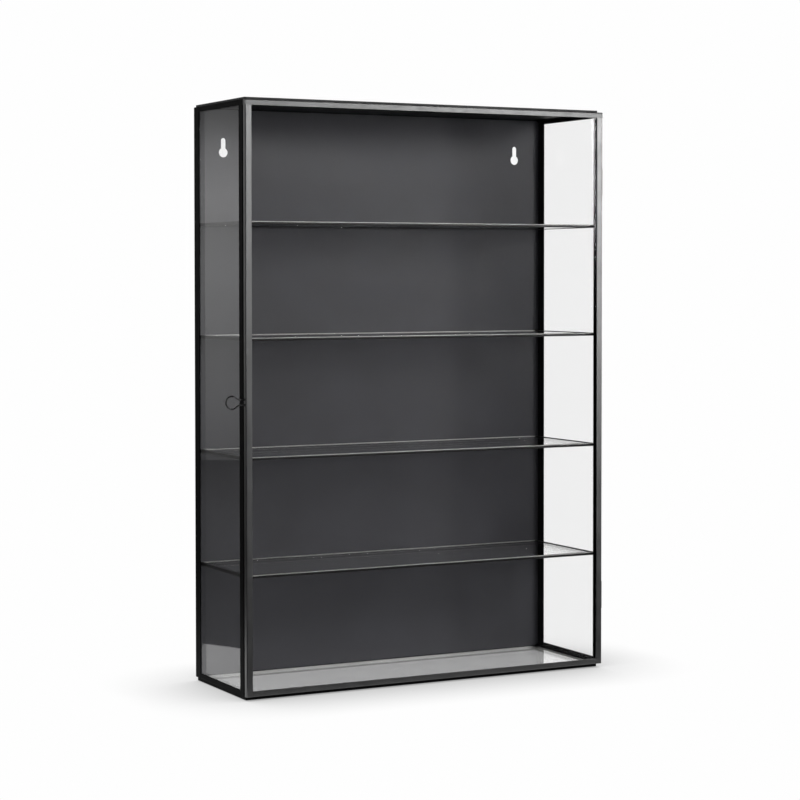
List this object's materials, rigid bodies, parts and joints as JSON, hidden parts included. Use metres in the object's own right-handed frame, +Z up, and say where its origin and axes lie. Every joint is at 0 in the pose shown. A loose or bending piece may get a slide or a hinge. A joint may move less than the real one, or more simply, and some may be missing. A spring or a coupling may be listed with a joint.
{
  "type": "glass wall cabinet",
  "caption": "Shallow glass display cabinet in a slim black steel frame, with edged glass shelves, a steel back with keyholes and a glazed door with a wire loop pull.",
  "frame": {"origin": "on the surface that the cabinet stands on, under the middle of the carcass", "axes": "+Z up, +Y towards the wall, the door faces -Y, +X to the right of someone who faces the door"},
  "size_m": [0.3681, 0.1108, 0.5],
  "materials": {
    "black_steel": "satin black lacquer on thin steel sheet",
    "clear_glass": "clear float glass with ground edges",
    "bare_steel": "blackened steel wire",
    "ferrite": "matt sintered ferrite"
  },
  "bodies": {
    "carcass": {"front_left_post": "black_steel", "front_right_post": "black_steel", "rear_left_post": "black_steel", "rear_right_post": "black_steel", "left_top_rail": "black_steel", "left_bottom_rail": "black_steel", "right_top_rail": "black_steel", "right_bottom_rail": "black_steel", "front_top_rail": "black_steel", "front_bottom_rail": "black_steel", "rear_top_rail": "black_steel", "rear_bottom_rail": "black_steel", "base_frame": "black_steel", "bottom_glass": "clear_glass", "lid": "black_steel", "left_glass": "clear_glass", "right_glass": "clear_glass", "back_panel": "black_steel", "shelf_1_front_came": "black_steel", "shelf_1_rear_came": "black_steel", "shelf_1_left_came": "black_steel", "shelf_1_right_came": "black_steel", "shelf_2_front_came": "black_steel", "shelf_2_rear_came": "black_steel", "shelf_2_left_came": "black_steel", "shelf_2_right_came": "black_steel", "shelf_3_front_came": "black_steel", "shelf_3_rear_came": "black_steel", "shelf_3_left_came": "black_steel", "shelf_3_right_came": "black_steel", "shelf_4_front_came": "black_steel", "shelf_4_rear_came": "black_steel", "shelf_4_left_came": "black_steel", "shelf_4_right_came": "black_steel", "shelf_1_glass": "clear_glass", "shelf_2_glass": "clear_glass", "shelf_3_glass": "clear_glass", "shelf_4_glass": "clear_glass", "lower_hinge_post_leaf": "black_steel", "lower_hinge_pin": "bare_steel", "upper_hinge_post_leaf": "black_steel", "upper_hinge_pin": "bare_steel", "catch_magnet": "ferrite"},
    "door": {"door_left_stile": "black_steel", "door_right_stile": "black_steel", "door_top_rail": "black_steel", "door_bottom_rail": "black_steel", "door_glass": "clear_glass", "loop_pull": "black_steel", "lower_hinge_door_leaf": "black_steel", "upper_hinge_door_leaf": "black_steel"}
  },
  "joints": [
    {"name": "door_hinge", "type": "hinge", "parent": "carcass", "child": "door", "pos_m": [0.1753, -0.0531, 0.25065], "axis": [0, 0, 1], "range_deg": [0, 180]}
  ]
}
